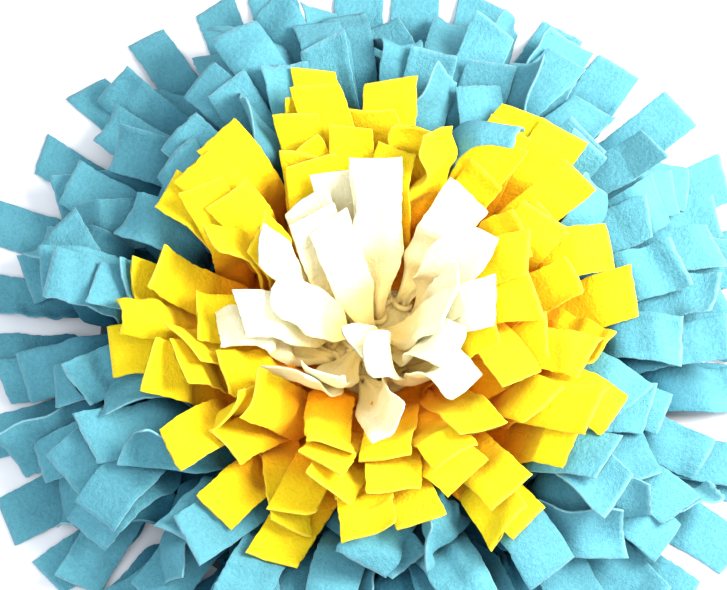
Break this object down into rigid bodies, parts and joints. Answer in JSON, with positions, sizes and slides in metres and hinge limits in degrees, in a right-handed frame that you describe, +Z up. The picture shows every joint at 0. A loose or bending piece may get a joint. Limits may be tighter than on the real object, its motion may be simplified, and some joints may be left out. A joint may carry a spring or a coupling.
{
  "type": "snuffle mat",
  "caption": "Round pet snuffle mat: a flat base under a thick pile of knotted fleece strips, cream in the centre, then a yellow ring and a blue rim.",
  "frame": {"origin": "centre of the base mat's underside, on the floor", "axes": "+Z up out of the pile; the mat is round, so +X and +Y only fix which way the tails lie"},
  "size_m": [0.4566, 0.4611, 0.0885],
  "materials": {
    "base_mat": "matt",
    "blue_outer_strips": "matt brushed fleece",
    "blue_inner_strips": "matt brushed fleece",
    "yellow_strips": "matt brushed fleece",
    "cream_strips": "matt brushed fleece"
  },
  "bodies": {
    "root": {"base_mat": "base_mat", "blue_outer_strips": "blue_outer_strips", "blue_inner_strips": "blue_inner_strips", "yellow_strips": "yellow_strips", "cream_strips": "cream_strips"}
  },
  "joints": []
}
